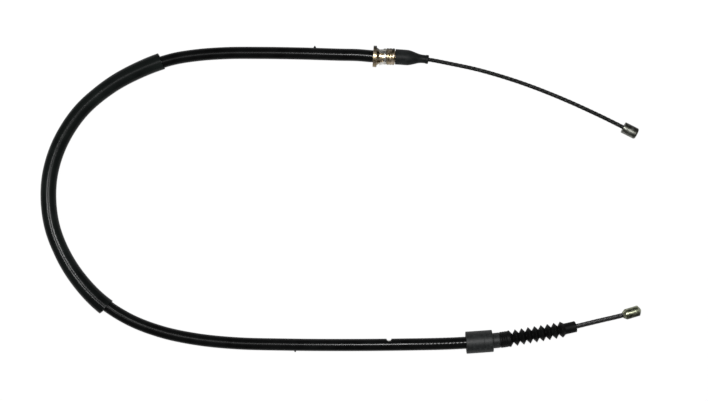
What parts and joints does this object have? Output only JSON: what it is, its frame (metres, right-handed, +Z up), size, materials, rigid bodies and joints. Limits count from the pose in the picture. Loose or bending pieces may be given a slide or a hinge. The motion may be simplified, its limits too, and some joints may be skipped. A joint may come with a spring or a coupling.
{
  "type": "parking brake cable",
  "caption": "Parking brake cable laid flat in a C shape: jacketed casing with a loose bend sleeve, flanged ferrule, abutment and bellows, and a nipple on each rope end.",
  "frame": {"origin": "centre of the bottom of the bounding box, on the table that the cable lies on", "axes": "+X along the longest extent, from the bend to the two rope ends; +Y towards the lever end; +Z up from the table"},
  "size_m": [0.481, 0.2464, 0.0177],
  "materials": {
    "jacket": "glossy black PVC",
    "sleeve": "satin black polyethylene",
    "boot_rubber": "satin black rubber",
    "bellows_rubber": "deep black rubber with a faint sheen",
    "nylon": "matte black glass-filled nylon",
    "winding": "drawn steel wire",
    "liner": "natural polyethylene",
    "rope": "oiled dark steel strands",
    "yellow_zinc": "yellow-passivated zinc",
    "spring_steel": "bright spring steel",
    "grey_zinc": "grey cast zinc"
  },
  "bodies": {
    "casing": {"outer_sheath": "jacket", "conduit_winding": "winding", "liner_tube": "liner", "core_rope": "rope", "bend_sleeve": "sleeve", "lever_ferrule": "yellow_zinc", "lever_retaining_clip": "spring_steel", "lever_boot": "boot_rubber", "drum_abutment": "nylon", "bellows_boot": "bellows_rubber"},
    "lever_end": {"lever_rope": "rope", "lever_nipple": "grey_zinc"},
    "drum_end": {"drum_rope": "rope", "drum_nipple": "yellow_zinc"}
  },
  "joints": [
    {"name": "lever_end_slide", "type": "slide", "parent": "casing", "child": "lever_end", "axis": [0.9962, -0.0872, 0], "range_m": [0, 0.02]},
    {"name": "drum_end_slide", "type": "slide", "parent": "casing", "child": "drum_end", "axis": [-0.9789, -0.2045, 0], "range_m": [0, 0.02], "deforming": ["bellows_boot"]}
  ],
  "couplings": [
    {"joint": "drum_end_slide", "follows": "lever_end_slide", "ratio": 1}
  ]
}
